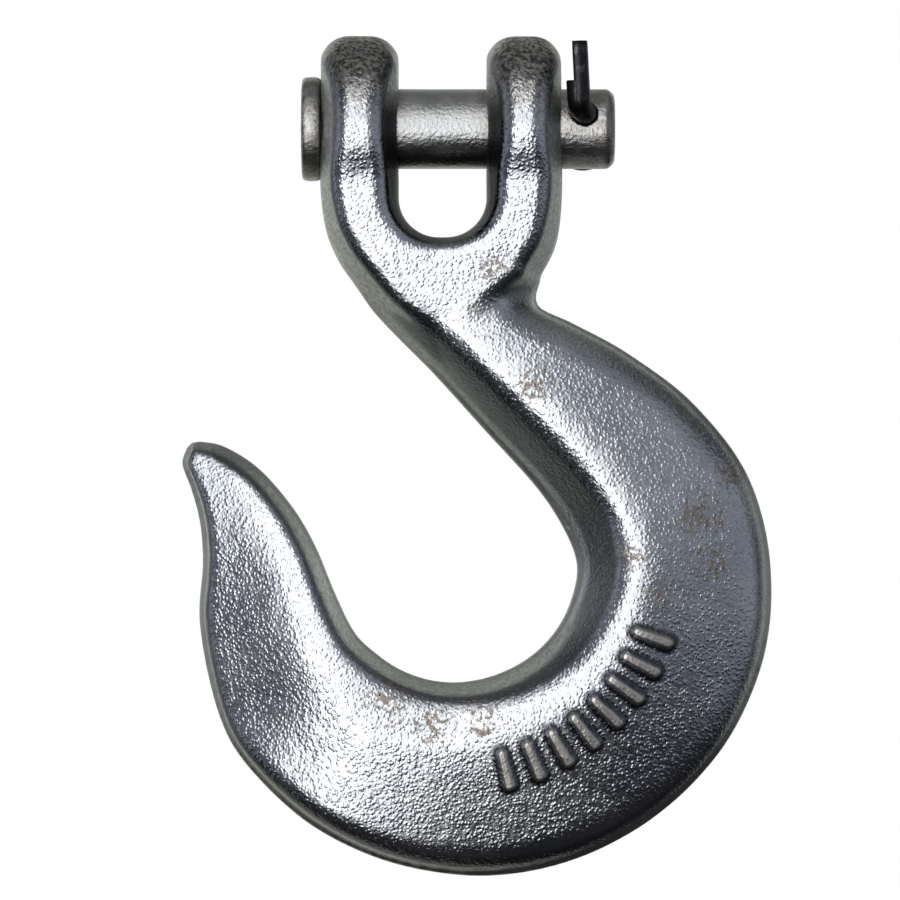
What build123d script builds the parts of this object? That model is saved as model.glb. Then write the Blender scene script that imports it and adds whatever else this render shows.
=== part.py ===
from build123d import *
import os
from math import atan2, cos, exp, radians, sin, sqrt

# Clevis slip hook for 3/8 in chain: one drop forging with two ears, a headed clevis pin and its cotter pin.
# Millimetres. +X runs along the clevis pin towards its cotter end, +Z is up when the hook hangs from the pin,
# and Y is the thickness. The origin is on the pin's axis, midway between the ears.

# ---- driving sizes -------------------------------------------------------------------------------
pin_diameter = 11.1
running_clearance = 0.10

ears_half_span = 16.6
ear_radius = 12.9
slot_half_width = 6.0
slot_depth = 15.5
slot_corner = 5.6
ear_round = 3.3
crest_round = 3.0
foot_round = 4.2
leg_half_thickness = 11.8
leg_top = -2.0
leg_waist = -12.0
neck_half_thickness = 8.6

bowl_centre = (1.9, -60.5)
bowl_radius = 16.7
rim_centre = (6.3, -64.2)
rim_radius = 39.5
heel_swell = 1.4
heel_angle = -142.0
heel_spread = 32.0
bowl_half_thickness = 8.4
bowl_crest = 0.30
bowl_rim = 0.52

head_diameter = 14.5
head_thickness = 2.6
head_round = 0.9
head_gap = 0.12
head_inner_face = -ears_half_span - head_gap
pin_end = 24.1
pin_end_chamfer = 0.8

cotter_hole_x = 19.9
cotter_hole_radius = 1.65
cotter_tilt = 20.0
cotter_radius = cotter_hole_radius - running_clearance
cotter_split = 0.06
eye_start = 6.9
eye_flare = 2.1
eye_inner_radius = 1.3
leg_bend_start = 6.1
leg_bend_radius = 2.4
legs_lean = 7.0
long_leg_top = 11.6
short_leg_top = 6.2

# ---- hook body: shank, bowl and point ------------------------------------------------------------
# Each section is stated by its two ends in X and Z, its half thickness, and the fractions that say where
# its crest lies and how full its outer side is.
neck_sections = [
    ((-10.0, -19.6), (10.8, -20.4), 7.8, 0.50, 0.62),
    ((-8.9, -25.5), (13.4, -23.6), 9.1, 0.44, 0.70),
    ((-1.7, -33.7), (18.4, -27.2), 8.9, 0.36, 0.66),
    ((6.0, -42.2), (26.0, -31.3), 8.4, 0.32, 0.56),
    ((13.0, -49.7), (34.9, -38.2), bowl_half_thickness, bowl_crest, bowl_rim),
    ((16.9, -55.5), (42.4, -48.1), bowl_half_thickness, bowl_crest, bowl_rim),
]
bowl_angles = range(0, -140, -17)
point_sections = [
    ((-12.5, -69.5), (-30.9, -80.6), 8.3, 0.31, 0.53),
    ((-15.0, -64.6), (-33.3, -69.0), 7.8, 0.35, 0.55),
    ((-17.7, -58.2), (-33.0, -60.2), 6.9, 0.40, 0.58),
    ((-20.8, -52.7), (-33.4, -54.4), 5.8, 0.44, 0.61),
    ((-25.1, -47.5), (-34.6, -50.2), 4.5, 0.47, 0.66),
    ((-30.1, -44.2), (-35.9, -46.9), 2.8, 0.50, 0.75),
]
nose_tip = (-34.4, 0, -43.7)


def bowl_section(angle):
    """Section of the bowl on a ray at an angle about its centre, out to the eccentric circle of the rim."""
    ray = (cos(radians(angle)), sin(radians(angle)))
    shift = (rim_centre[0] - bowl_centre[0], rim_centre[1] - bowl_centre[1])
    along = ray[0] * shift[0] + ray[1] * shift[1]
    reach = along + sqrt(rim_radius**2 - shift[0] ** 2 - shift[1] ** 2 + along**2)
    reach += heel_swell * exp(-(((angle - heel_angle) / heel_spread) ** 2))
    inner = (bowl_centre[0] + bowl_radius * ray[0], bowl_centre[1] + bowl_radius * ray[1])
    outer = (bowl_centre[0] + reach * ray[0], bowl_centre[1] + reach * ray[1])
    return inner, outer, bowl_half_thickness, bowl_crest, bowl_rim


def section_wire(inner, outer, half_thickness, crest, rim):
    """Egg-shaped wire of four cubic quarters, steep at the inner end and tapering to the outer end."""
    width = sqrt((outer[0] - inner[0]) ** 2 + (outer[1] - inner[1]) ** 2)
    across = Vector(outer[0] - inner[0], 0, outer[1] - inner[1]).normalized()
    plane = Plane(origin=(inner[0], 0, inner[1]), x_dir=across, z_dir=across.cross(Vector(0, 1, 0)))
    brow = 0.4 * crest
    slope = crest + 0.4 * (1 - crest)
    quarters = [
        [(0, 0), (0, 0.8), (brow, 1), (crest, 1)],
        [(crest, 1), (slope, 1), (1, rim), (1, 0)],
        [(1, 0), (1, -rim), (slope, -1), (crest, -1)],
        [(crest, -1), (brow, -1), (0, -0.8), (0, 0)],
    ]
    edges = []
    for quarter in quarters:
        edges.append(Bezier(*[(u * width, v * half_thickness) for u, v in quarter]).edge())
    return plane * Wire(edges)


def hook_curve():
    """Loft from the neck, round the bowl and up to the point."""
    wires = [section_wire(*station) for station in neck_sections]
    for angle in bowl_angles:
        wires.append(section_wire(*bowl_section(angle)))
    wires += [section_wire(*station) for station in point_sections]
    return Solid.make_loft(wires + [Vertex(*nose_tip)])


# ---- hook body: clevis ---------------------------------------------------------------------------
def fork_outline():
    """Front outline of the two legs and the bridge under the slot; the legs end inside the ears."""
    straight = -8.0
    left_foot = (-10.9, -22.9)
    right_foot = (12.9, -22.6)
    root = (2.5, -28.0)
    with BuildSketch(Plane.XZ) as outline:
        with BuildLine():
            Line((-ears_half_span, straight), (-ears_half_span, 0))
            Line((-ears_half_span, 0), (ears_half_span, 0))
            Line((ears_half_span, 0), (ears_half_span, straight))
            ThreePointArc((ears_half_span, straight), (15.9, -15.6), right_foot)
            Line(right_foot, root)
            Line(root, left_foot)
            ThreePointArc(left_foot, (-15.5, -15.8), (-ears_half_span, straight))
        make_face()
        with Locations((0, -slot_depth / 2)):
            Rectangle(2 * slot_half_width, slot_depth, mode=Mode.SUBTRACT)
        slot_floor = outline.vertices().filter_by(lambda v: abs(v.Y + slot_depth) < 0.01)
        fillet(slot_floor, slot_corner)
        feet = outline.vertices().filter_by(lambda v: v.Y < -slot_depth - 1)
        fillet(feet, foot_round)
    return outline.sketch


def fork_side():
    """Side outline of the fork, nearly as deep as the ears at the top and as thin as the neck below."""
    below_root = -30.0
    with BuildSketch(Plane.YZ) as outline:
        Polygon(
            (0, 0),
            (leg_half_thickness, 0),
            (leg_half_thickness, leg_top),
            (neck_half_thickness, leg_waist),
            (neck_half_thickness, below_root),
            (0, below_root),
            align=None,
        )
        mirror(about=Plane.YZ)
    return outline.sketch


def fork():
    """Legs and bridge, with their front and back edges rounded as forged."""
    front = Pos(0, ear_radius, 0) * extrude(fork_outline(), amount=2 * ear_radius)
    side = extrude(fork_side(), amount=2 * ears_half_span, both=True)
    block = (front & side).solid()
    # the edges to round lie on the front and back faces, below the flat top that ends inside the ears
    nearest = neck_half_thickness - 0.5
    outside = block.edges().filter_by(lambda e: abs(e.center().Y) > nearest and e.center().Z < -0.5)
    across = outside.filter_by(lambda e: abs(e.tangent_at(0.5).X) > 0.99)
    folds = [e for e in across if min(abs(e.center().Z - leg_top), abs(e.center().Z - leg_waist)) < 0.05]
    return block.fillet(crest_round, [e for e in outside if e not in folds])


def ear(side):
    """One ear, a round boss about the pin with rounded rims; side is -1 or 1."""
    thickness = ears_half_span - slot_half_width
    boss = Rotation(0, 90, 0) * Cylinder(ear_radius, thickness)
    boss = fillet(boss.edges().filter_by(GeomType.CIRCLE), ear_round)
    return Pos(side * (slot_half_width + thickness / 2), 0, 0) * boss


def ear_bores():
    radius = pin_diameter / 2 + running_clearance
    return Rotation(0, 90, 0) * Cylinder(radius, 4 * ears_half_span)


def hook_body():
    return fork() + ear(-1) + ear(1) + hook_curve() - ear_bores()


# ---- clevis pin ----------------------------------------------------------------------------------
def cotter_direction():
    """Unit vector along the cross hole, out of the pin's front."""
    return Vector(0, -cos(radians(cotter_tilt)), sin(radians(cotter_tilt)))


def clevis_pin():
    head_outer_face = head_inner_face - head_thickness
    head_radius = head_diameter / 2
    shank_radius = pin_diameter / 2
    with BuildPart() as pin:
        with BuildSketch(Plane.XZ):
            Polygon(
                (head_outer_face, 0),
                (head_outer_face, head_radius),
                (head_inner_face, head_radius),
                (head_inner_face, shank_radius),
                (pin_end - pin_end_chamfer, shank_radius),
                (pin_end, shank_radius - pin_end_chamfer),
                (pin_end, 0),
                align=None,
            )
        revolve(axis=Axis.X)
        circles = pin.edges().filter_by(GeomType.CIRCLE)
        fillet(circles.filter_by(lambda e: abs(e.radius - head_radius) < 0.01), head_round)
        with Locations(Plane(origin=(cotter_hole_x, 0, 0), z_dir=cotter_direction())):
            Cylinder(cotter_hole_radius, 2 * pin_diameter, mode=Mode.SUBTRACT)
    return pin.part


# ---- cotter pin ----------------------------------------------------------------------------------
# The cotter is a half-round wire folded double. It is drawn in its own plane, u across the two legs
# (along +X) and v along the cross hole towards the front, with the pin's axis at v = 0.
def cotter_plane():
    across = Vector(1, 0, 0)
    return Plane(origin=(cotter_hole_x, 0, 0), x_dir=across, z_dir=across.cross(cotter_direction()))


def half_round(at, direction, outward):
    """Half-disc of the wire's section, standing across a direction with its round side outward."""
    plane = Plane(origin=at, x_dir=outward, z_dir=direction)
    with BuildSketch(plane) as wire_section:
        with BuildLine():
            ThreePointArc((0, cotter_radius), (cotter_radius, 0), (0, -cotter_radius))
            Line((0, -cotter_radius), (0, cotter_radius))
        make_face()
    return wire_section.sketch


def eye_and_shanks():
    """Both legs inside the hole and the eye behind it, as one wire swept along tangent arcs."""
    flare_u = cotter_split + eye_flare
    centres = eye_flare + eye_inner_radius
    loop_v = -eye_start - sqrt(centres**2 - flare_u**2)
    touch_u = flare_u * eye_inner_radius / centres
    touch_v = loop_v + (-eye_start - loop_v) * eye_inner_radius / centres
    half_turn = atan2(-eye_start - loop_v, flare_u) / 2
    mid_u = flare_u - eye_flare * cos(half_turn)
    mid_v = -eye_start - eye_flare * sin(half_turn)
    plane = cotter_plane()
    with BuildLine(plane) as route:
        Line((cotter_split, 0), (cotter_split, -eye_start))
        ThreePointArc((cotter_split, -eye_start), (mid_u, mid_v), (touch_u, touch_v))
        ThreePointArc((touch_u, touch_v), (0, loop_v - eye_inner_radius), (-touch_u, touch_v))
        ThreePointArc((-touch_u, touch_v), (-mid_u, mid_v), (-cotter_split, -eye_start))
        Line((-cotter_split, -eye_start), (-cotter_split, 0))
    start = plane.from_local_coords(Vector(cotter_split, 0, 0))
    return sweep(half_round(start, -cotter_direction(), (1, 0, 0)), path=route.wires()[0])


def leg(side, top):
    """One leg from the pin's axis out of the front of the hole, then bent up past the pin."""
    forward = cotter_direction()
    up = Vector(-sin(radians(legs_lean)), 0, cos(radians(legs_lean)))
    start = Vector(cotter_hole_x + side * cotter_split, 0, 0)
    corner = start + forward * (leg_bend_start + leg_bend_radius)
    end = corner + up * ((top - corner.Z) / up.Z)
    with BuildLine() as route:
        FilletPolyline(start, corner, end, radius=leg_bend_radius)
    return sweep(half_round(start, forward, (side, 0, 0)), path=route.wires()[0])


def cotter_pin():
    return eye_and_shanks() + leg(1, long_leg_top) + leg(-1, short_leg_top)


# ---- files ---------------------------------------------------------------------------------------
nodes = {
    "hook_body": hook_body,
    "clevis_pin": clevis_pin,
    "cotter_pin": cotter_pin,
}

os.makedirs("parts", exist_ok=True)
for name, make in nodes.items():
    export_step(make(), f"parts/{name}.step")
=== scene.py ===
from math import atan2, cos, degrees, exp, hypot, pi, radians, sin, sqrt, tan

import bmesh
import bpy
import numpy as np
import openvdb
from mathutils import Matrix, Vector


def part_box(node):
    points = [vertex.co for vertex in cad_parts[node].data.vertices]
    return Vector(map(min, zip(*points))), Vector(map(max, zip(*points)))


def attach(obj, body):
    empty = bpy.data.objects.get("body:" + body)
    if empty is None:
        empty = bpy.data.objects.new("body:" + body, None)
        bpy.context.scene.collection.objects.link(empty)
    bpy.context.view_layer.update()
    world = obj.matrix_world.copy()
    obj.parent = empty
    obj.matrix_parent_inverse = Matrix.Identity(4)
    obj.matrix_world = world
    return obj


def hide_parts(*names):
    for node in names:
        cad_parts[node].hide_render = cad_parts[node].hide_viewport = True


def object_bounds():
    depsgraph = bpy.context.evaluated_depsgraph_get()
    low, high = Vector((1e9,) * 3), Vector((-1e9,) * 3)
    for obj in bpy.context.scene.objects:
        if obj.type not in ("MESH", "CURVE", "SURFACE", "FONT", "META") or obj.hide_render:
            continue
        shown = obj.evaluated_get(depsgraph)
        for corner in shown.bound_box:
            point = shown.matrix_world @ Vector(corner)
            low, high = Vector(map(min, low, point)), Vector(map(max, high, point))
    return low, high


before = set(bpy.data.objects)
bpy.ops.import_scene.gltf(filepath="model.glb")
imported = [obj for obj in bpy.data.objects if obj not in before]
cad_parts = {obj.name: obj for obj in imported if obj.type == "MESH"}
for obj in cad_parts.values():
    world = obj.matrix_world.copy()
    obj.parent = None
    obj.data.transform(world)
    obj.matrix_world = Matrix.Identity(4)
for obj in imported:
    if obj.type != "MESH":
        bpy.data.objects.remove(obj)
cad_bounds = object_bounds()

# The looks of a forged clevis slip hook, its headed clevis pin and its cotter pin. Shapes are worked out in
# millimetres in the frame's own axes and written to the meshes in metres. The forging's parting plane is
# Y = 0 and its front faces -Y.
mm = 0.001
rng = np.random.default_rng(7)

# ---- sizes in millimetres ------------------------------------------------------------------------
pin_low, pin_high = (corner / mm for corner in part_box("clevis_pin"))
hook_low, hook_high = (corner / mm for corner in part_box("hook_body"))
pin_radius = 5.55
bore_radius = 5.65
ear_radius = hook_high.z
slot_middle = 0.2
slot_half_width = 6.09
slot_depth = 15.15
slot_corner = 5.6

bowl_centre = (1.9, -60.5)
bowl_radius = 16.4
bowl_widening = 0.6
bowl_thickness = 8.4
rim_centre = (6.3, -64.2)
rim_radius = 39.5
rim_growth = 0.15
heel_swell = 1.55
heel_angle = -142.0
heel_spread = 32.0
toe_hollow = 0.5
toe_angle = -55.0
toe_spread = 25.0


# ---- rounded solids as distance fields -----------------------------------------------------------
# A field is below zero inside the solid and grows by about 1 for each millimetre outward.
def round_max(a, b, radius):
    """What both solids hold, with the edge between them rounded."""
    corner = np.hypot(np.maximum(a + radius, 0), np.maximum(b + radius, 0))
    return np.minimum(np.maximum(a, b), -radius) + corner


def round_min(a, b, radius):
    """What either solid holds, with a fillet between them."""
    return -round_max(-a, -b, radius)


def eased_step(value, span):
    """Smooth step: 0 up to the span's first value and 1 past its second, which may be the smaller one."""
    share = np.clip((value - span[0]) / (span[1] - span[0]), 0, 1)
    return share * share * (3 - 2 * share)


def draft_wall(depth, half_thickness, foot, top):
    """Wall through two points given as (depth in from the edge, distance from the parting plane)."""
    run = top[0] - foot[0]
    rise = top[1] - foot[1]
    length = np.hypot(run, rise)
    return (run * (half_thickness - foot[1]) - rise * (depth - foot[0])) / length


def grid_lines(box_low, box_high, step):
    """First corner of a grid with three steps to spare round a box, and its X, Y and Z lines."""
    low = np.array(box_low) - 3 * step
    high = np.array(box_high) + 3 * step
    counts = np.ceil((high - low) / step).astype(int)
    return low, [low[axis] + step * np.arange(counts[axis]) for axis in range(3)]


def sampled(values, place):
    """A grid's values between its points, where place is counted in grid steps."""
    cell = np.clip(np.floor(place).astype(int), 0, np.array(values.shape) - 2)
    part = place - cell
    total = np.zeros(len(place))
    for corner in np.ndindex(2, 2, 2):
        weight = np.prod(np.where(corner, part, 1 - part), axis=1)
        index = cell + corner
        total += weight * values[index[:, 0], index[:, 1], index[:, 2]]
    return total


far_outside = 10.0
fit_rounds = 3
flattest_slope = 0.2


def mesh_of(field, low, step, name):
    """Mesh object of a field's zero surface. The field is sampled on a grid from low at that step."""
    field = np.ascontiguousarray(field, dtype=np.float32)
    grid = openvdb.FloatGrid(far_outside)
    grid.copyFromArray(field)
    points, quads = grid.convertToQuads(0.0)
    made = mesh_object(name, points * mm, quads)
    flattest = flattest_slope * step
    for _ in range(fit_rounds):
        relax(made)
        place = vertex_array(made)
        slope = [sampled(field, place + shift) - sampled(field, place - shift) for shift in 0.5 * np.eye(3)]
        slope = np.stack(slope, axis=1)
        steepness = np.maximum((slope**2).sum(axis=1), flattest**2)
        move_to(made, place - slope * (sampled(field, place) / steepness)[:, None])
    move_to(made, vertex_array(made) * step + low)
    return made


def mesh_object(name, points, faces):
    mesh = bpy.data.meshes.new(name)
    mesh.from_pydata(points.tolist(), [], faces.tolist() if hasattr(faces, "tolist") else faces)
    mesh.validate()
    mesh.shade_smooth()
    made = bpy.data.objects.new(name, mesh)
    bpy.context.scene.collection.objects.link(made)
    return made


def vertex_array(made):
    flat = np.empty(len(made.data.vertices) * 3)
    made.data.vertices.foreach_get("co", flat)
    return flat.reshape(-1, 3) / mm


def normal_array(made):
    flat = np.empty(len(made.data.vertices) * 3)
    made.data.vertices.foreach_get("normal", flat)
    return flat.reshape(-1, 3)


def move_to(made, points):
    made.data.vertices.foreach_set("co", (points * mm).ravel())
    made.data.update()


def relax(made):
    """Evens out the grid's steps: each vertex goes half way to the middle of its neighbours."""
    edges = np.empty(len(made.data.edges) * 2, dtype=np.int64)
    made.data.edges.foreach_get("vertices", edges)
    edges = edges.reshape(-1, 2)
    points = vertex_array(made)
    count = np.bincount(edges.ravel(), minlength=len(points))[:, None]
    total = np.zeros_like(points)
    np.add.at(total, edges[:, 0], points[edges[:, 1]])
    np.add.at(total, edges[:, 1], points[edges[:, 0]])
    move_to(made, 0.5 * points + 0.5 * total / count)


lattice_cells = 32


def lattice_noise(points, size):
    """Smooth noise from -1 to 1 whose lumps are about that many millimetres across."""
    table = rng.uniform(-1, 1, (lattice_cells, lattice_cells, lattice_cells))
    place = points / size
    cell = np.floor(place).astype(int)
    part = eased_step(place - cell, (0, 1))
    total = np.zeros(len(points))
    for corner in np.ndindex(2, 2, 2):
        weight = np.ones(len(points))
        for axis in range(3):
            weight *= part[:, axis] if corner[axis] else 1 - part[:, axis]
        index = (cell + corner) % lattice_cells
        total += weight * table[index[:, 0], index[:, 1], index[:, 2]]
    return total


def set_attribute(made, name, values):
    attribute = made.data.attributes.new(name, "FLOAT", "POINT")
    attribute.data.foreach_set("value", np.asarray(values, dtype=np.float32))


# ---- hook forging: edges of the shank, bowl and point in the parting plane -----------------------
def bowl_station(angle):
    """Ends of the bowl's section on a ray at an angle about its centre, and its half thickness."""
    ray = (cos(radians(angle)), sin(radians(angle)))
    shift = (rim_centre[0] - bowl_centre[0], rim_centre[1] - bowl_centre[1])
    along = ray[0] * shift[0] + ray[1] * shift[1]
    reach = along + sqrt(rim_radius**2 - shift[0] ** 2 - shift[1] ** 2 + along**2)
    reach += heel_swell * exp(-(((angle - heel_angle) / heel_spread) ** 2))
    reach += rim_growth - toe_hollow * exp(-(((angle - toe_angle) / toe_spread) ** 2))
    radius = bowl_radius + bowl_widening * ray[0] ** 2
    inner = (bowl_centre[0] + radius * ray[0], bowl_centre[1] + radius * ray[1])
    outer = (bowl_centre[0] + reach * ray[0], bowl_centre[1] + reach * ray[1])
    return inner, outer, bowl_thickness


# Each station is the inner end, the outer end and the half thickness at the crest.
stations = [
    ((-11.2, -21.4), (11.0, -20.9), 2.0),
    ((-8.8, -25.8), (13.4, -24.6), 8.6),
    ((-1.45, -33.45), (18.4, -27.1), 9.0),
    ((6.25, -41.95), (26.1, -31.2), 8.7),
    ((13.1, -49.6), (35.0, -38.1), 8.5),
    ((16.95, -55.4), (42.5, -48.0), 8.4),
]
stations += [bowl_station(angle) for angle in range(0, -140, -17)]
stations += [
    ((-12.4, -69.5), (-31.05, -80.8), 8.3),
    ((-14.8, -64.55), (-33.45, -69.0), 7.9),
    ((-17.5, -58.1), (-33.05, -60.2), 7.2),
    ((-20.7, -52.6), (-33.5, -54.4), 6.3),
    ((-25.2, -47.4), (-34.7, -50.0), 5.0),
    ((-30.1, -44.2), (-36.0, -46.5), 3.6),
    ((-33.6, -43.4), (-35.2, -43.9), 3.0),
]
per_span = 12
far_away = 1e9
tiny = 1e-6


def smooth_line(points):
    """Catmull-Rom line through the points, with per_span pieces between each two."""
    ends = [2 * points[0] - points[1]], [2 * points[-1] - points[-2]]
    p = np.concatenate([ends[0], points, ends[1]])
    line = []
    for k in range(1, len(p) - 2):
        for t in np.arange(per_span) / per_span:
            bend = 2 * p[k] + (p[k + 1] - p[k - 1]) * t
            bend = bend + (2 * p[k - 1] - 5 * p[k] + 4 * p[k + 1] - p[k + 2]) * t**2
            line.append((bend + (3 * p[k] - p[k - 1] - 3 * p[k + 1] + p[k + 2]) * t**3) / 2)
    line.append(p[-2])
    return np.array(line)


def nearest_on(line, x, z):
    """Distance from each point to a line, and the station that its nearest point belongs to."""
    best = np.full(x.shape, far_away)
    place = np.zeros(x.shape)
    for k in range(len(line) - 1):
        run = line[k + 1] - line[k]
        share = ((x - line[k][0]) * run[0] + (z - line[k][1]) * run[1]) / (run @ run)
        share = np.clip(share, 0, 1)
        gap = (x - line[k][0] - share * run[0]) ** 2 + (z - line[k][1] - share * run[1]) ** 2
        place = np.where(gap < best, k + share, place)
        best = np.minimum(gap, best)
    return np.sqrt(best), place / per_span


def inside(outline, x, z):
    """True where a point lies inside a closed outline."""
    odd = np.zeros(x.shape, dtype=bool)
    for a, b in zip(outline, np.roll(outline, -1, axis=0)):
        if a[1] != b[1]:
            crossing = a[0] + (z - a[1]) * (b[0] - a[0]) / (b[1] - a[1])
            odd ^= ((a[1] > z) != (b[1] > z)) & (x < crossing)
    return odd


def blurred(values, rounds):
    """Smooths a flat array with a small kernel, so that slopes have no kinks."""
    for _ in range(rounds):
        padded = np.pad(values, 1, mode="edge")
        values = (padded[:-2, 1:-1] + padded[2:, 1:-1] + padded[1:-1, :-2] + padded[1:-1, 2:]) / 4
    return values


# How the section changes on the way from the neck to the point. From the inner edge it goes up a wall and
# a bevel of these widths, over a rounded crease, up the face to the crest at that depth, down the face's
# slope, and over the rim's rounding to a ledge beside the parting line.
key_stations = (0, 2, 5, 9, 11, 13, 15, 20, 21)
wall_widths = (2.4, 3.2, 3.0, 2.0, 1.6, 1.5, 1.6, 1.3, 0.5)
bevel_widths = (1.6, 1.9, 3.4, 2.0, 1.2, 1.0, 0.6, 0.45, 0.5)
crease_rounds = (1.4, 1.4, 1.4, 1.3, 1.2, 1.0, 0.5, 0.4, 0.4)
crest_depths = (8.0, 8.6, 9.6, 8.8, 8.0, 8.8, 6.6, 3.6, 1.5)
wedge_slopes = (0.05, 0.24, 0.33, 0.31, 0.25, 0.11, 0.39, 0.37, 0.20)
ledge_widths = (0.0, 0.3, 0.4, 0.5, 0.6, 0.6, 0.5, 0.5, 0.5)
rim_rounds = (3.8, 3.8, 3.8, 3.8, 3.6, 2.6, 1.2, 1.0, 0.8)
bevel_rise = 1.2
bevel_drop = 0.3
bevel_rounding = 0.5
crest_softness = 2.0
inner_slope = 0.10
rim_face_share = 0.85
rim_draft = radians(7)
thinnest_rim_rounding = 0.6
flash_half_thickness = 1.0
flash_rounding = 0.35
flash_fillet = 0.25
thickness_blur = 20
section_blur = 12
face_blur = 6


def blade_field(x, y, z):
    """Shank, bowl and point: drafted walls from the edges up to a crested face that falls to the rim."""
    flat_x, flat_z = x + 0 * z, z + 0 * x
    inner = smooth_line(np.array([s[0] for s in stations]))
    outer = smooth_line(np.array([s[1] for s in stations]))
    from_inner, at_inner = nearest_on(inner, flat_x, flat_z)
    from_outer, at_outer = nearest_on(outer, flat_x, flat_z)
    solid = inside(np.concatenate([inner, outer[::-1]]), flat_x, flat_z)
    side = np.where(solid, 1, -1)
    edge = side * np.minimum(from_inner, from_outer)
    share = from_inner / (from_inner + from_outer + tiny)
    station = (1 - share) * at_inner + share * at_outer
    outside_inner = ~solid & (from_inner < from_outer)
    outside_outer = ~solid & ~outside_inner
    depth_in = np.where(outside_inner, -from_inner, from_inner)
    depth_out = np.where(outside_outer, -from_outer, from_outer)

    def by_station(values):
        return blurred(np.interp(station, key_stations, values), section_blur)

    thicknesses = [s[2] for s in stations]
    thickness = blurred(np.interp(station, range(len(stations)), thicknesses), thickness_blur)
    wall = by_station(wall_widths)
    bevel = by_station(bevel_widths)
    crest = by_station(crest_depths)
    past_crest = depth_in - crest
    swell = np.sqrt(past_crest**2 + crest_softness**2)
    face = thickness - by_station(wedge_slopes) * (swell + past_crest - crest_softness) / 2
    face = blurred(face - inner_slope * (swell - past_crest - crest_softness) / 2, face_blur)
    shoulder = thickness - bevel_rise * bevel - bevel_drop

    y_in = np.abs(y)
    grown = [a[:, None, :] for a in (depth_in, depth_out, wall, bevel, shoulder, face, edge)]
    depth_in, depth_out, wall, bevel, shoulder, face, edge = grown
    zero = np.zeros_like(wall)
    steep = draft_wall(depth_in, y_in, (zero, zero), (wall, shoulder))
    slant = draft_wall(depth_in, y_in, (wall, shoulder), (wall + bevel, shoulder + bevel_rise * bevel))
    body = round_max(steep, slant, bevel_rounding)
    body = round_max(body, y_in - face, by_station(crease_rounds)[:, None, :])
    ledge = by_station(ledge_widths)[:, None, :]
    rounding = np.minimum(rim_face_share * face, by_station(rim_rounds)[:, None, :])
    rim = y_in * sin(rim_draft) - (depth_out - ledge) * cos(rim_draft)
    body = round_max(body, rim, np.maximum(rounding, thinnest_rim_rounding))
    flash = round_max(-edge + 0 * y_in, y_in - flash_half_thickness, flash_rounding)
    return round_min(body, flash, flash_fillet)


# ---- hook forging: fork and ears -----------------------------------------------------------------
fork_left = [(-16.6, 20.0), (-16.65, 6.0), (-16.7, -3.0), (-16.7, -9.0), (-16.1, -13.8)]
fork_left += [(-14.9, -17.2), (-12.9, -20.5), (-8.9, -25.1), (-5.2, -28.3), (-1.2, -31.0)]
fork_right = [(1.5, -31.6), (6.0, -28.0), (12.9, -22.4), (14.0, -20.3), (15.7, -17.0)]
fork_right += [(16.5, -13.6), (16.8, -9.0), (16.75, -3.0), (16.7, 6.0), (16.6, 20.0)]
fork_draft = radians(20)
draft_softness = 1.0
draft_start = 6.2
low_draft_start = 1.5
draft_change = (-22, -4)
leg_blur = 20
ear_fillet = 0.6
round_heights = (-12, -4, 6, 11)
crest_rounds = (1.4, 1.6, 2.0, 3.7)
leg_heights = (-32, -27, -22, -5)
leg_thicknesses = (4.5, 8.6, 9.2, 11.5)


def signed_distance(outline, x, z):
    gap, _ = nearest_on(np.concatenate([outline, outline[:1]]), x, z)
    return np.where(inside(outline, x, z), -gap, gap)


def lean(past_start):
    """How far a fork's wall has leaned over at this distance past the start of its draft."""
    return (past_start + np.sqrt(past_start**2 + draft_softness**2)) / 2 * sin(fork_draft)


def fork_field(x, y, z):
    """Two legs that end in round ears, with drafted walls and rounded crests, joined under the slot."""
    flat_x, flat_z = x + 0 * z, z + 0 * x
    left = smooth_line(np.array(fork_left))
    right = smooth_line(np.array(fork_right))
    front = signed_distance(np.concatenate([left, right]), flat_x, flat_z)
    slot_x = np.abs(flat_x - slot_middle) - (slot_half_width - slot_corner)
    slot_z = -flat_z - (slot_depth - slot_corner)
    slot = np.hypot(np.maximum(slot_x, 0), np.maximum(slot_z, 0)) - slot_corner
    slot += np.minimum(np.maximum(slot_x, slot_z), 0)
    y_in = np.abs(y)
    up = z[:, None, :]
    wall_start = low_draft_start + (draft_start - low_draft_start) * eased_step(up, draft_change)
    wall = front[:, None, :] * cos(fork_draft) + lean(y_in - wall_start)
    gap = -slot[:, None, :] * cos(fork_draft) + lean(y_in - draft_start)
    leg_half = blurred(np.interp(z, leg_heights, leg_thicknesses), leg_blur)[:, None, :]
    side = round_min(np.hypot(y_in, up) - ear_radius, np.maximum(y_in - leg_half, up), ear_fillet)
    return round_max(np.maximum(wall, gap), side, np.interp(up, round_heights, crest_rounds))


# ---- hook forging: raised marks ------------------------------------------------------------------
mark_radius = 28.9
mark_length = 6.0
mark_half_width = 0.8
mark_edge = 0.9
mark_angles = np.linspace(-76, -20, 8)
mark_relief = 0.9
mark_margin = 2.5
mark_front = -2
mark_top_span = (0, -mark_edge / 2)
mark_side_span = (mark_edge / 2, -mark_edge / 2)
mark_foot_span = (0.6 * mark_edge, 0.1 * mark_edge)


def mark_gap(points):
    """Distance from each vertex to the nearest raised bar, below zero on the bar and large on the back."""
    across = points[:, 0] - bowl_centre[0]
    up = points[:, 2] - bowl_centre[1]
    angle = np.degrees(np.arctan2(up, across))
    along = np.maximum(np.abs(np.hypot(across, up) - mark_radius) - mark_length / 2 + mark_half_width, 0)
    gap = np.full(len(points), mark_length)
    for mark in mark_angles:
        beside = np.radians(angle - mark) * mark_radius
        gap = np.minimum(gap, np.hypot(beside, along) - mark_half_width)
    return np.where(points[:, 1] < 0, gap, mark_length)


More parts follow.
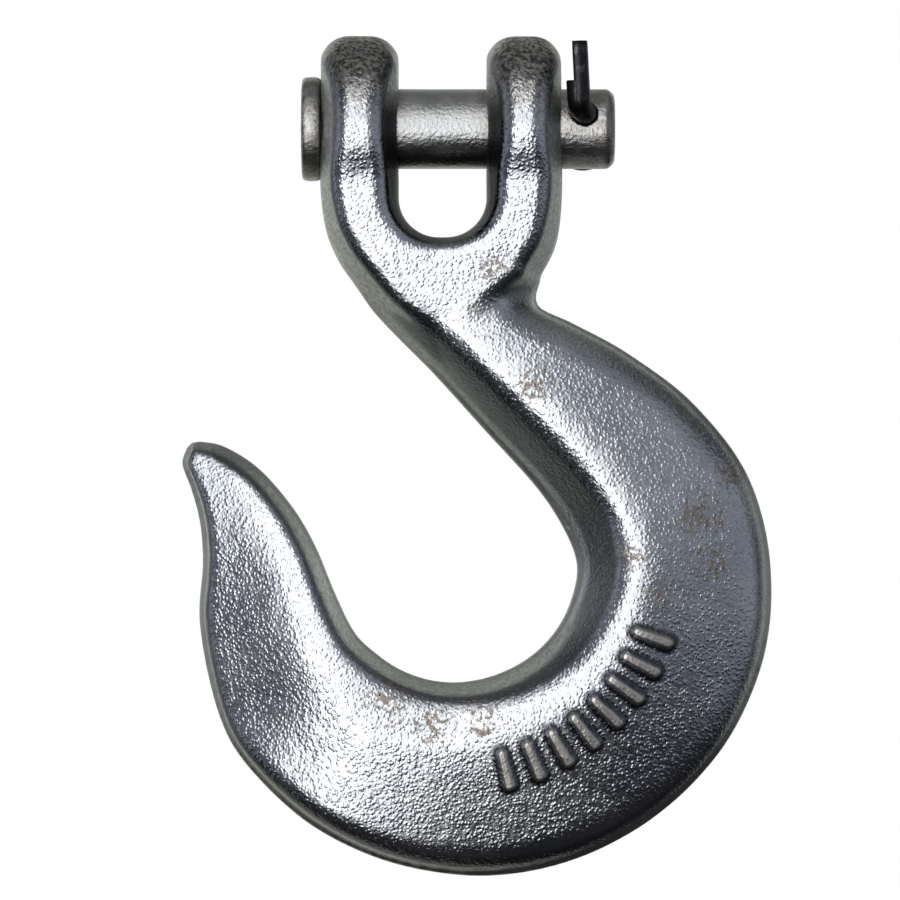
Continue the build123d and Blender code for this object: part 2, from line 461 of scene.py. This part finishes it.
def refine_marks(made):
    """Splits the faces round the raised bars, so that their edges are crisp."""
    made_mesh = bmesh.new()
    made_mesh.from_mesh(made.data)
    near = []
    for edge in made_mesh.edges:
        spot = (edge.verts[0].co + edge.verts[1].co) / 2 / mm
        across, up = spot.x - bowl_centre[0], spot.z - bowl_centre[1]
        angle = degrees(atan2(up, across))
        in_row = abs(hypot(across, up) - mark_radius) < mark_length / 2 + mark_edge
        in_span = mark_angles[0] - mark_margin < angle < mark_angles[-1] + mark_margin
        if in_row and in_span and spot.y < mark_front:
            near.append(edge)
    bmesh.ops.subdivide_edges(made_mesh, edges=near, cuts=2, use_grid_fill=True)
    made_mesh.to_mesh(made.data)
    made_mesh.free()
    made.data.shade_smooth()


# ---- hook forging: the whole ---------------------------------------------------------------------
hook_step = 0.48
bore_edge_round = 0.5
# Fillets between the fork and the shank, by X: at the edges, and on the faces.
edge_fillets = ((-8, 0), (1.2, 2.7))
face_fillets = ((1, 8), (0.6, 4.2))
edge_to_face = (3, 8)
lump_heights = (0.13, 0.018)
lump_sizes = (9.0, 3.1)
grain_height = 0.006
grain_size = 1.4
seat_radius = 7.5
# How much less the walls are lumped and grained than the faces.
wall_lump_loss = 0.4
wall_grain_loss = 0.7

# Spans over which the surface's masks fade in: in millimetres, or for facing in parts of the unit normal.
steep_facing = (0.35, 0.65)
trimmed_depths = (1.2, 1.7)
turning_begins = (0.36, 0.50)
turning_ends = 0.84
turning_fade = 0.14
turning_by_bowl = 0.09
bowl_reach = (21.5, 20.0)
turning_depth = (2.0, 3.0)
back_edge_facing = (0.25, 0.65)
back_edge_x = (5, 10)
back_edge_low = (-62, -48)
back_edge_high = (-22, -26)
back_edge_loss = 0.85
slot_reach = (9.4, 8.0)
slot_top = (4.5, 1.0)
slot_bottom = (-slot_depth - 1.6, -slot_depth - 0.6)
sideways_facing = (0.45, 0.80)
# Painted shade on the ears' upward-facing tops grows over these heights.
top_shade_heights = (-1, 2.5, 8)
top_shade_shares = (0, 0.6, 1)
coarse_heights = (-75, -62, -32, -22, 0)
coarse_shares = (1.0, 0.85, 0.9, 0.7, 0.8)
coarse_left = (-18, -8)


def mark_masks(made, beside_mark):
    """Masks of the raised bars: their tops, which get rubbing and a painted highlight, and the painted shade
    round their feet.
    """
    off_foot = np.abs(beside_mark - mark_edge / 2)
    set_attribute(made, "mark_top", eased_step(beside_mark, mark_top_span))
    set_attribute(made, "mark_foot", eased_step(off_foot, mark_foot_span))


def surface_masks(made, points, normals, steepness):
    """Vertex attributes that tell the zinc's shader walls, trimmed edges and coarseness apart, and where it
    paints shade.
    """
    x, y, z = points.T
    facing = np.abs(normals[:, 1])
    set_attribute(made, "steepness", steepness)
    set_attribute(made, "trimmed", np.interp(np.abs(y), trimmed_depths, (1, 0)))
    # Painted shade: a dark band where the faces turn over into walls and rims, mostly left off the shank's
    # upper right edge.
    from_bowl = np.hypot(x - bowl_centre[0], z - bowl_centre[1])
    turned = turning_ends + turning_by_bowl * eased_step(from_bowl, bowl_reach)
    painted_edge_shade = eased_step(facing, turning_begins) * eased_step(facing, (turned, turned - turning_fade))
    painted_edge_shade *= eased_step(np.abs(y), turning_depth)
    back_edge = eased_step(normals[:, 0] + normals[:, 2], back_edge_facing) * eased_step(x, back_edge_x)
    back_edge *= eased_step(z, back_edge_low) * eased_step(z, back_edge_high)
    set_attribute(made, "painted_edge_shade", painted_edge_shade * (1 - back_edge_loss * back_edge))
    # Painted shade: the slot's steep walls get a mask that darkens them to near black.
    in_slot = eased_step(np.abs(x - slot_middle), slot_reach)
    in_slot *= eased_step(z, slot_top) * eased_step(z, slot_bottom)
    set_attribute(made, "painted_slot_shade", in_slot * steepness)
    # Painted shade: upward-facing surfaces high on the ears.
    upright = np.interp(np.abs(normals[:, 0]), sideways_facing, (1, 0))
    set_attribute(made, "ear_top_shade", upright * np.interp(z, top_shade_heights, top_shade_shares))
    coarseness = np.interp(z, coarse_heights, coarse_shares)
    set_attribute(made, "coarseness", np.maximum(coarseness, np.interp(x, coarse_left, (1, 0))))


def hook_body():
    low, (x, y, z) = grid_lines(hook_low, hook_high, hook_step)
    x, y, z = x[:, None], y[None, :, None], z[None, :]
    edge_fillet = np.interp(x[:, :, None], *edge_fillets)
    face_fillet = np.interp(x[:, :, None], *face_fillets)
    fillet = edge_fillet + (face_fillet - edge_fillet) * eased_step(np.abs(y), edge_to_face)
    field = round_min(fork_field(x, y, z), blade_field(x, y, z), fillet)
    bore = np.hypot(y, z[:, None, :]) - bore_radius
    field = round_max(field, -bore, bore_edge_round)
    made = mesh_of(field, low, hook_step, "hook_forging")
    refine_marks(made)
    points = vertex_array(made)
    normals = normal_array(made)
    steepness = np.interp(np.abs(normals[:, 1]), steep_facing, (1, 0))
    lumps = sum(h * lattice_noise(points, size) for h, size in zip(lump_heights, lump_sizes))
    grain = grain_height * lattice_noise(points, grain_size)
    height = lumps * (1 - wall_lump_loss * steepness) + grain * (1 - wall_grain_loss * steepness)
    # The ears' sides round the bores stay as the field has them.
    seat = np.hypot(points[:, 1], points[:, 2]) < seat_radius
    height = np.where(seat & (steepness > 0.5), 0, height)
    beside_mark = mark_gap(points)
    height += mark_relief * eased_step(beside_mark, mark_side_span)
    move_to(made, points + normals * height[:, None])
    mark_masks(made, beside_mark)
    surface_masks(made, points, normals, steepness)
    return made


# ---- clevis pin ----------------------------------------------------------------------------------
hole_x = 19.9
hole_tilt = radians(20)
hole_radius = 1.65
hole_edge_round = 0.15
pin_step = 0.25
pin_length = 40
pin_edge_round = 0.25
chamfer_size = 0.9
chamfer_round = 0.3
head_thickness = 2.7
head_barrel = 0.10
head_edge_round = 0.45
head_fillet = 0.3
pin_lump_height = 0.012
pin_lump_size = 2.2
pin_grain_height = 0.007
pin_grain_size = 0.9
pin_sink = 0.01
pin_free_depths = (-0.5, -0.1)


def clevis_pin():
    low, (x, y, z) = grid_lines(pin_low, pin_high, pin_step)
    x, y, z = x[:, None, None], y[None, :, None], z[None, None, :]
    radial = np.hypot(y, z)
    end = pin_high.x
    half = pin_length / 2
    shank = round_max(radial - pin_radius, np.abs(x - (end - half)) - half, pin_edge_round)
    chamfer = (radial - pin_radius + x - end + chamfer_size) / sqrt(2)
    shank = round_max(shank, chamfer, chamfer_round)
    head_middle = pin_low.x + head_thickness / 2
    flat = np.abs(x - head_middle) - head_thickness / 2
    barrel = radial - pin_high.z + head_barrel * (x - head_middle) ** 2
    head = round_max(barrel, flat, head_edge_round)
    field = round_min(shank, head, head_fillet)
    across = np.sqrt((x - hole_x) ** 2 + (y * sin(hole_tilt) + z * cos(hole_tilt)) ** 2)
    field = round_max(field, hole_radius - across, hole_edge_round)
    made = mesh_of(field, low, pin_step, "clevis_pin_turned")
    points = vertex_array(made)
    normals = normal_array(made)
    # The hole's wall and the flat ends' middles stay smooth.
    past_shank = np.hypot(points[:, 1], points[:, 2]) - pin_radius
    lumps = pin_lump_height * lattice_noise(points, pin_lump_size)
    grain = pin_grain_height * lattice_noise(points, pin_grain_size)
    height = np.interp(past_shank, pin_free_depths, (0, 1)) * (lumps + grain - pin_sink)
    move_to(made, points + normals * height[:, None])
    return made


# ---- cotter pin ----------------------------------------------------------------------------------
wire_radius = 1.55
wire_split = 0.06
eye_start = 6.9
eye_flare = 2.1
eye_inner_radius = 1.3
leg_bend_start = 6.1
leg_bend_radius = 2.4
legs_lean = radians(3)
legs_set = 0.9
legs_set_span = (4.6, 8.2)
wire_edge = 0.18
wire_edge_share = 0.6
wire_edge_drop = 0.1
wire_flat_inset = 0.5
wire_arc_points = 15
wire_flat_points = 5
wire_end_scales = (0.55, 0.86, 0.97)
leg_points = 10
leg_bend_points = 12
flare_points = 10
loop_points = 14
long_leg_top = 11.6
short_leg_top = 6.2


def arc(centre, start, end, steps):
    """Points on the arc about a centre from one point to another, the shorter way round."""
    a, b = start - centre, end - centre
    turn = np.arccos(np.clip(a @ b / np.linalg.norm(a) / np.linalg.norm(b), -1, 1))
    share = np.linspace(0, 1, steps)[:, None]
    return centre + (np.sin((1 - share) * turn) * a + np.sin(share * turn) * b) / np.sin(turn)


def leg_route(side, top):
    """From the pin's axis out of the front of the hole and up past the pin."""
    forward = np.array([0, -cos(hole_tilt), sin(hole_tilt)])
    up = np.array([-sin(legs_lean), 0, cos(legs_lean)])
    start = np.array([hole_x + side * wire_split, 0, 0])
    corner = start + forward * (leg_bend_start + leg_bend_radius)
    turn = np.arccos(forward @ up)
    setback = leg_bend_radius * tan(turn / 2)
    bend_in = corner - forward * setback
    bend_out = corner + up * setback
    middle = up - forward
    centre = corner + middle / np.linalg.norm(middle) * leg_bend_radius / cos(turn / 2)
    end = corner + up * ((top - corner[2]) / up[2])
    straight = np.linspace(0, 1, leg_points)[1:-1, None]
    run_in = start + straight * (bend_in - start)
    run_out = bend_out + straight * (end - bend_out)
    bend = arc(centre, bend_in, bend_out, leg_bend_points)
    route = np.concatenate([run_in, bend, run_out, [end]])
    route[:, 0] -= legs_set * eased_step(-route[:, 1], legs_set_span)
    return route


def eye_route():
    """Round the back, from the left leg's side of the split to the right leg's, with both flares."""
    back = np.array([0, cos(hole_tilt), -sin(hole_tilt)])
    along_x = np.array([1.0, 0, 0])
    centre_u = wire_split + eye_flare
    reach = eye_flare + eye_inner_radius
    loop_v = eye_start + sqrt(reach**2 - centre_u**2)

    def place(u, v):
        return np.array([hole_x, 0, 0]) + along_x * u + back * v

    touch_u = centre_u * eye_inner_radius / reach
    touch_v = loop_v + (eye_start - loop_v) * eye_inner_radius / reach
    touch = place(-touch_u, touch_v)
    flare = arc(place(-centre_u, eye_start), place(-wire_split, eye_start), touch, flare_points)
    loop_half = arc(place(0, loop_v), touch, place(0, loop_v + eye_inner_radius), loop_points)
    half = np.concatenate([flare, loop_half[1:]])
    other = half[::-1].copy()
    other[:, 0] = 2 * hole_x - other[:, 0]
    start = place(-wire_split, 0)
    end = place(wire_split, 0)
    return np.concatenate([[start], half, other[1:], [end]])


def swept_wire(name, route, outward_start, outward_end):
    """Half-round wire along a route, its flat side turned away from outward, with eased ends."""
    ahead = np.gradient(route, axis=0)
    ahead /= np.linalg.norm(ahead, axis=1)[:, None]
    outward = [np.array(outward_start, dtype=float)]
    for direction in ahead[1:]:
        turned = outward[-1] - (outward[-1] @ direction) * direction
        outward.append(turned / np.linalg.norm(turned))
    outward = np.array(outward)
    if outward[-1] @ np.array(outward_end) < 0:
        raise ValueError("the wire's flat side ends on the wrong side")
    across = np.cross(ahead, outward)
    angles = np.linspace(-pi / 2, pi / 2, wire_arc_points)
    section = [(wire_radius * cos(a), wire_radius * sin(a)) for a in angles[1:-1]]
    flat = wire_radius - wire_edge
    outer, inner = flat + wire_edge_drop, flat - wire_edge_drop
    corner = wire_edge * wire_edge_share
    section = [(corner, -outer)] + section + [(corner, outer), (0, inner)]
    inset = flat - wire_flat_inset
    section += [(0, v) for v in np.linspace(inset, -inset, wire_flat_points)] + [(0, -inner)]
    section = np.array(section)
    middle = section.mean(axis=0)
    rings = []
    for k, spot in enumerate(route):
        scales = [1.0]
        if k == 0:
            scales = wire_end_scales
        if k == len(route) - 1:
            scales = wire_end_scales[::-1]
        for scale in scales:
            shape = middle + (section - middle) * scale
            rings.append(spot + shape[:, :1] * outward[k] + shape[:, 1:] * across[k])
    count = len(section)
    faces = []
    for r in range(len(rings) - 1):
        for k in range(count):
            n = (k + 1) % count
            faces.append((r * count + k, r * count + n, (r + 1) * count + n, (r + 1) * count + k))
    last = (len(rings) - 1) * count
    faces.append(tuple(reversed(range(count))))
    faces.append(tuple(last + k for k in range(count)))
    return mesh_object(name, np.concatenate(rings) * mm, faces)


def cotter_pin():
    left = leg_route(-1, short_leg_top)[::-1]
    right = leg_route(1, long_leg_top)
    route = np.concatenate([left, eye_route(), right])
    return swept_wire("cotter_wire", route, (-1, 0, 0), (1, 0, 0))


# ---- materials -----------------------------------------------------------------------------------
class Nodes:
    """Short calls for building one material's or world's node tree."""

    def __init__(self, tree):
        self.tree = tree
        self.tree.nodes.clear()

    def add(self, kind, inputs=None, **settings):
        node = self.tree.nodes.new(kind)
        for key, value in settings.items():
            setattr(node, key, value)
        for key, value in (inputs or {}).items():
            if isinstance(value, bpy.types.NodeSocket):
                self.tree.links.new(value, node.inputs[key])
            else:
                node.inputs[key].default_value = value
        return node

    def math(self, operation, a, b=0.0):
        return self.add("ShaderNodeMath", {0: a, 1: b}, operation=operation).outputs[0]

    def scaled(self, value, factor):
        return self.math("MULTIPLY", value, factor)

    def plus(self, a, b, share):
        """The sum of a value and a share of another."""
        return self.math("ADD", a, self.scaled(b, share))

    def without(self, value, mask, share):
        """A value that is less by that share where a mask is full."""
        return self.math("MULTIPLY", value, self.math("SUBTRACT", 1.0, self.scaled(mask, share)))

    def mask(self, name):
        return self.add("ShaderNodeAttribute", attribute_name=name).outputs["Fac"]

    def noise(self, place, size, detail=2.0, roughness=0.5):
        inputs = {"Vector": place, "Scale": 1 / size, "Detail": detail, "Roughness": roughness}
        return self.add("ShaderNodeTexNoise", inputs).outputs["Fac"]

    def cells(self, place, size, smoothness=0.6):
        inputs = {"Vector": place, "Scale": 1 / size, "Smoothness": smoothness}
        return self.add("ShaderNodeTexVoronoi", inputs, feature="SMOOTH_F1").outputs["Distance"]

    def ramp(self, value, low, high, to_low=0.0, to_high=1.0):
        inputs = {"Value": value, "From Min": low, "From Max": high, "To Min": to_low, "To Max": to_high}
        return self.add("ShaderNodeMapRange", inputs, interpolation_type="SMOOTHSTEP").outputs[0]

    def mix(self, share, a, b):
        """Colour a turned into colour b by a share. The mix node's colour sockets have these numbers."""
        return self.add("ShaderNodeMix", {0: share, 6: a, 7: b}, data_type="RGBA").outputs[2]

    def tinted(self, colour, mask, share, tint):
        return self.mix(self.scaled(mask, share), colour, (*tint, 1))

    def place_in_mm(self):
        spot = self.add("ShaderNodeTexCoord").outputs["Object"]
        return self.add("ShaderNodeVectorMath", {0: spot, "Scale": 1000.0}, operation="SCALE").outputs[0]

    def bump(self, height, distance, strength, below=None):
        inputs = {"Height": height, "Distance": distance * mm, "Strength": strength}
        if below is not None:
            inputs["Normal"] = below
        return self.add("ShaderNodeBump", inputs).outputs[0]

    def finish_metal(self, colour, roughness, normal):
        inputs = {"Base Color": colour, "Metallic": 1.0, "Roughness": roughness, "Normal": normal}
        shader = self.add("ShaderNodeBsdfPrincipled", inputs)
        self.add("ShaderNodeOutputMaterial", {"Surface": shader.outputs[0]})


def new_material(name):
    material = bpy.data.materials.new(name)
    material.use_nodes = True
    return material, Nodes(material.node_tree)


# Colours, linear. The pairs go from the darker patches to the lighter ones.
zinc_face = ((0.55, 0.58, 0.62, 1), (0.69, 0.71, 0.73, 1))
zinc_speck = (0.40, 0.41, 0.45, 1)
zinc_pit = (0.24, 0.24, 0.27)
zinc_wall = ((0.33, 0.34, 0.32, 1), (0.58, 0.59, 0.54, 1))
wall_speck = (0.08, 0.08, 0.08)
trimmed_edge = (0.60, 0.62, 0.56)
# Painted shade for the rounded turns.
edge_shade_colour = (0.09, 0.09, 0.10)
# Painted highlight, with some real rubbing, for the bars' tops, and painted shade for their feet.
rubbed_and_highlit_mark = (0.80, 0.74, 0.65)
mark_foot_shade = (0.04, 0.04, 0.045)
# Painted shade for the slot's steep walls.
slot_painted_shade = (0.035, 0.035, 0.038, 1)
# Painted shade for the ears' tops, mottled from dark to light.
ear_top_shade_colours = ((0.10, 0.10, 0.10, 1), (0.52, 0.51, 0.47, 1))
brown_stain = (0.23, 0.17, 0.11)
pin_face = ((0.43, 0.44, 0.44, 1), (0.58, 0.59, 0.58, 1))
pin_speck = (0.33, 0.31, 0.29, 1)
worn_pin = (0.30, 0.27, 0.24, 1)
oxide_face = ((0.045, 0.045, 0.05, 1), (0.16, 0.155, 0.15, 1))
floor_shades = ((0.86, 0.86, 0.86, 1), (0.9, 0.9, 0.9, 1))

# Each stain is X, Z and its size. It fades out at stain_reach times that size.
stain_reach = 1.3
stain_spots = [
    (39.9, -48.1, 2.6),
    (35.6, -53.6, 4.4),
    (37.4, -59.8, 3.4),
    (30.0, -64.8, 3.2),
    (12.8, -35.7, 3.4),
    (26.3, -59.2, 2.8),
    (7.2, -19.7, 2.8),
    (-7.5, -79.5, 3.8),
    (-1.0, -82.5, 3.8),
    (6.0, -82.0, 3.2),
]


def stain_mask(n, place):
    """Ragged blots inside the stains' reach, the same on both faces."""
    split = n.add("ShaderNodeSeparateXYZ", {0: place})
    reached = 0.0
    for x, z, size in stain_spots:
        across = n.math("SUBTRACT", split.outputs[0], x)
        along = n.math("SUBTRACT", split.outputs[2], z)
        square = n.math("ADD", n.math("MULTIPLY", across, across), n.math("MULTIPLY", along, along))
        reach = n.math("SQRT", square)
        reached = n.math("MAXIMUM", reached, n.ramp(reach, 0.0, stain_reach * size, 1.0, 0.0))
    blotch = n.plus(n.noise(place, 0.8, 5.0, 0.75), reached, 0.12)
    return n.math("MULTIPLY", n.ramp(reached, 0.0, 0.4), n.ramp(blotch, 0.55, 0.66))


def zinc_forging():
    """Zinc plate over forging scale: grained faces, dull walls and stains, with painted shade on the rounded
    turns, the ears' tops, the slot's walls and the raised bars' feet, and a painted highlight with rubbing
    on the bars' tops.
    """
    material, n = new_material("zinc_forging")
    place = n.place_in_mm()
    steep = n.mask("steepness")
    trimmed = n.mask("trimmed")
    mark_top = n.mask("mark_top")
    stain = stain_mask(n, place)
    patches = n.noise(place, 14.0, 4.0, 0.6)
    fine = n.noise(place, 1.6, 3.0, 0.6)
    pits = n.ramp(n.noise(place, 0.45, 2.0, 0.6), 0.53, 0.68)
    mottle = n.noise(place, 0.6, 3.0, 0.6)
    wall_specks = n.ramp(n.noise(place, 0.5, 2.0, 0.6), 0.58, 0.68)
    top_shade_patches = n.ramp(n.noise(place, 1.9, 4.0, 0.65), 0.30, 0.52, 0.55, 1.0)

    colour = n.mix(n.ramp(patches, 0.35, 0.68), *zinc_face)
    colour = n.mix(n.ramp(fine, 0.50, 0.75, 0.0, 0.35), colour, zinc_speck)
    colour = n.tinted(colour, pits, 0.45, zinc_pit)
    wall_colour = n.mix(n.ramp(mottle, 0.35, 0.65), *zinc_wall)
    wall_colour = n.tinted(wall_colour, wall_specks, 0.7, wall_speck)
    colour = n.mix(n.scaled(steep, 0.85), colour, wall_colour)
    colour = n.tinted(colour, trimmed, 0.8, trimmed_edge)
    # Painted shade: the rounded turns between faces, walls and rims are darkened.
    colour = n.tinted(colour, n.mask("painted_edge_shade"), 0.72, edge_shade_colour)
    # Painted highlight with rubbing on the bars' tops, and painted shade round their feet.
    colour = n.tinted(colour, mark_top, 0.8, rubbed_and_highlit_mark)
    colour = n.tinted(colour, n.mask("mark_foot"), 0.85, mark_foot_shade)
    # Painted shade: the slot's steep walls are darkened to near black.
    colour = n.mix(n.mask("painted_slot_shade"), colour, slot_painted_shade)
    # Painted shade: the ears' upward-facing tops are darkened in patches.
    top_shade_colour = n.mix(n.ramp(mottle, 0.40, 0.60), *ear_top_shade_colours)
    colour = n.mix(n.math("MULTIPLY", n.mask("ear_top_shade"), top_shade_patches), colour, top_shade_colour)
    colour = n.tinted(colour, stain, 0.75, brown_stain)

    roughness = n.ramp(patches, 0.3, 0.7, 0.19, 0.28)
    for mask, share in ((steep, 0.18), (stain, 0.25), (trimmed, 0.12), (mark_top, 0.16)):
        roughness = n.plus(roughness, mask, share)

    calm = n.math("MULTIPLY", n.math("SUBTRACT", 1.0, n.scaled(steep, 0.35)), n.mask("coarseness"))
    for mask, share in ((trimmed, 0.8), (mark_top, 0.6)):
        calm = n.without(calm, mask, share)
    grain = n.ramp(n.cells(place, 0.52, 0.3), 0.10, 0.60, 1.0, 0.0)
    height = n.math("MULTIPLY", n.plus(grain, n.noise(place, 0.55, 2.0, 0.55), 1.8), calm)
    broad = n.bump(n.noise(place, 2.3, 2.0, 0.5), 0.14, 0.6)
    n.finish_metal(colour, roughness, n.bump(height, 0.052, 0.8, broad))
    return material


def zinc_pin():
    """Zinc plate over a drawn and turned pin: faint grains and long scratches, duller in patches."""
    material, n = new_material("zinc_pin")
    place = n.place_in_mm()
    stretch = n.add("ShaderNodeVectorMath", {0: place, 1: (0.15, 1.0, 1.0)}, operation="MULTIPLY").outputs[0]
    patches = n.noise(place, 5.0, 4.0, 0.6)
    grain = n.noise(place, 0.5, 2.0, 0.5)
    drawn = n.noise(stretch, 0.35, 2.0, 0.6)
    colour = n.mix(n.ramp(patches, 0.35, 0.7), *pin_face)
    colour = n.mix(n.ramp(grain, 0.58, 0.75, 0.0, 0.4), colour, pin_speck)
    ends = n.add("ShaderNodeSeparateXYZ", {0: place}).outputs[0]
    ends = n.ramp(n.math("ABSOLUTE", n.math("SUBTRACT", ends, slot_middle)), 3.5, 7.5)
    worn = n.math("MULTIPLY", ends, n.ramp(n.noise(place, 1.6, 4.0, 0.65), 0.40, 0.60, 0.15, 0.8))
    colour = n.mix(worn, colour, worn_pin)
    roughness = n.ramp(patches, 0.3, 0.7, 0.26, 0.38)
    normal = n.bump(n.plus(grain, drawn, 0.4), 0.10, 0.8)
    n.finish_metal(colour, roughness, normal)
    return material


def black_oxide():
    """Black oxide on wire: near black, satin, worn a little brighter in fine patches."""
    material, n = new_material("black_oxide")
    place = n.place_in_mm()
    patches = n.noise(place, 1.1, 4.0, 0.6)
    grain = n.noise(place, 0.25, 2.0, 0.5)
    colour = n.mix(n.ramp(patches, 0.52, 0.78), *oxide_face)
    roughness = n.ramp(patches, 0.3, 0.7, 0.42, 0.30)
    n.finish_metal(colour, roughness, n.bump(grain, 0.05, 0.6))
    return material


# ---- studio --------------------------------------------------------------------------------------
def lobe_direction(azimuth, elevation):
    """Unit vector of where a light stands: azimuth 0 is in front, at -Y, and 90 at +X."""
    a, e = radians(azimuth), radians(elevation)
    return (sin(a) * cos(e), -cos(a) * cos(e), sin(e))


# Each soft light is azimuth, elevation, the angles where it starts to fade and is gone, and its colour.
soft_lights = [
    (-8, 6, 14, 32, (1.50, 1.51, 1.53)),
    (-10, 36, 8, 28, (1.1, 1.1, 1.11)),
    (-12, -16, 10, 22, (1.5, 1.5, 1.51)),
    (52, 10, 10, 44, (0.22, 0.235, 0.28)),
    (-68, 4, 12, 45, (0.115, 0.12, 0.15)),
    (-102, 4, 15, 45, (0.26, 0.27, 0.28)),
    (-155, -35, 18, 44, (0.36, 0.37, 0.33)),
    (-145, 15, 12, 40, (0.36, 0.37, 0.36)),
    (140, 0, 15, 42, (0.30, 0.31, 0.31)),
    (95, 0, 10, 40, (0.12, 0.13, 0.13)),
    (0, 88, 20, 60, (0.20, 0.20, 0.20)),
    (180, 8, 12, 50, (0.42, 0.45, 0.41)),
]
room_level = (0.02, 0.02, 0.022)


def studio_world():
    world = bpy.data.worlds.new("studio")
    bpy.context.scene.world = world
    world.use_nodes = True
    n = Nodes(world.node_tree)
    direction = n.add("ShaderNodeTexCoord").outputs["Generated"]
    total = room_level
    for azimuth, elevation, full, gone, colour in soft_lights:
        inputs = {0: direction, 1: lobe_direction(azimuth, elevation)}
        facing = n.add("ShaderNodeVectorMath", inputs, operation="DOT_PRODUCT").outputs["Value"]
        share = n.ramp(facing, cos(radians(gone)), cos(radians(full)))
        lit = n.mix(share, (0, 0, 0, 1), (*colour, 1))
        total = n.add("ShaderNodeVectorMath", {0: lit, 1: total}, operation="ADD").outputs[0]
    seen = n.add("ShaderNodeLightPath").outputs["Is Camera Ray"]
    shown = n.mix(seen, total, (1, 1, 1, 1))
    background = n.add("ShaderNodeBackground", {"Color": shown, "Strength": 1.0})
    n.add("ShaderNodeOutputWorld", {"Surface": background.outputs[0]})


# In metres.
floor_radius = 0.32
floor_drop = 0.04
floor_corners = 96


def pale_floor():
    level = cad_bounds[0].z - floor_drop
    turns = np.linspace(0, 2 * pi, floor_corners + 1)[:-1]
    ring = [(floor_radius * cos(a), floor_radius * sin(a), level) for a in turns]
    floor = mesh_object("floor", np.array(ring), [tuple(range(floor_corners))])
    material, n = new_material("pale_floor")
    shade = n.mix(n.noise(n.place_in_mm(), 40.0), *floor_shades)
    shader = n.add("ShaderNodeBsdfPrincipled", {"Base Color": shade, "Roughness": 0.9})
    n.add("ShaderNodeOutputMaterial", {"Surface": shader.outputs[0]})
    floor.data.materials.append(material)
    floor.visible_glossy = False


def soft_lamp(name, azimuth, elevation, distance, size, power):
    """Round soft lamp aimed at the object's middle, seen neither by the camera nor in reflections."""
    lamp = bpy.data.lights.new(name, "AREA")
    lamp.shape = "DISK"
    lamp.size = size
    lamp.energy = power
    middle = (cad_bounds[0] + cad_bounds[1]) / 2
    made = bpy.data.objects.new(name, lamp)
    away = Vector(lobe_direction(azimuth, elevation))
    made.location = middle + away * distance
    made.rotation_euler = away.to_track_quat("Z", "Y").to_euler()
    made.visible_camera = False
    made.visible_glossy = False
    bpy.context.scene.collection.objects.link(made)


# The photo is taken square to the front. These are in metres.
camera_distance = 0.75
camera_x = 0.00125
camera_z = -0.0446
view_width = 0.1251


def photo_camera():
    camera = bpy.data.cameras.new("camera")
    camera.lens = camera.sensor_width * camera_distance / view_width
    camera.clip_start = 0.01
    made = bpy.data.objects.new("camera", camera)
    made.location = (camera_x, -camera_distance, camera_z)
    made.rotation_euler = (pi / 2, 0, 0)
    bpy.context.scene.collection.objects.link(made)
    bpy.context.scene.camera = made


# ---- assembly ------------------------------------------------------------------------------------
def finish_piece(piece, body, node, material):
    piece.data.materials.append(material)
    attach(piece, body)
    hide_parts(node)


finish_piece(hook_body(), "hook", "hook_body", zinc_forging())
finish_piece(clevis_pin(), "pin", "clevis_pin", zinc_pin())
finish_piece(cotter_pin(), "cotter", "cotter_pin", black_oxide())

photo_camera()
studio_world()
pale_floor()
soft_lamp("top_lamp", azimuth=20, elevation=70, distance=0.6, size=0.5, power=3.0)
bpy.context.scene.view_settings.view_transform = "Standard"
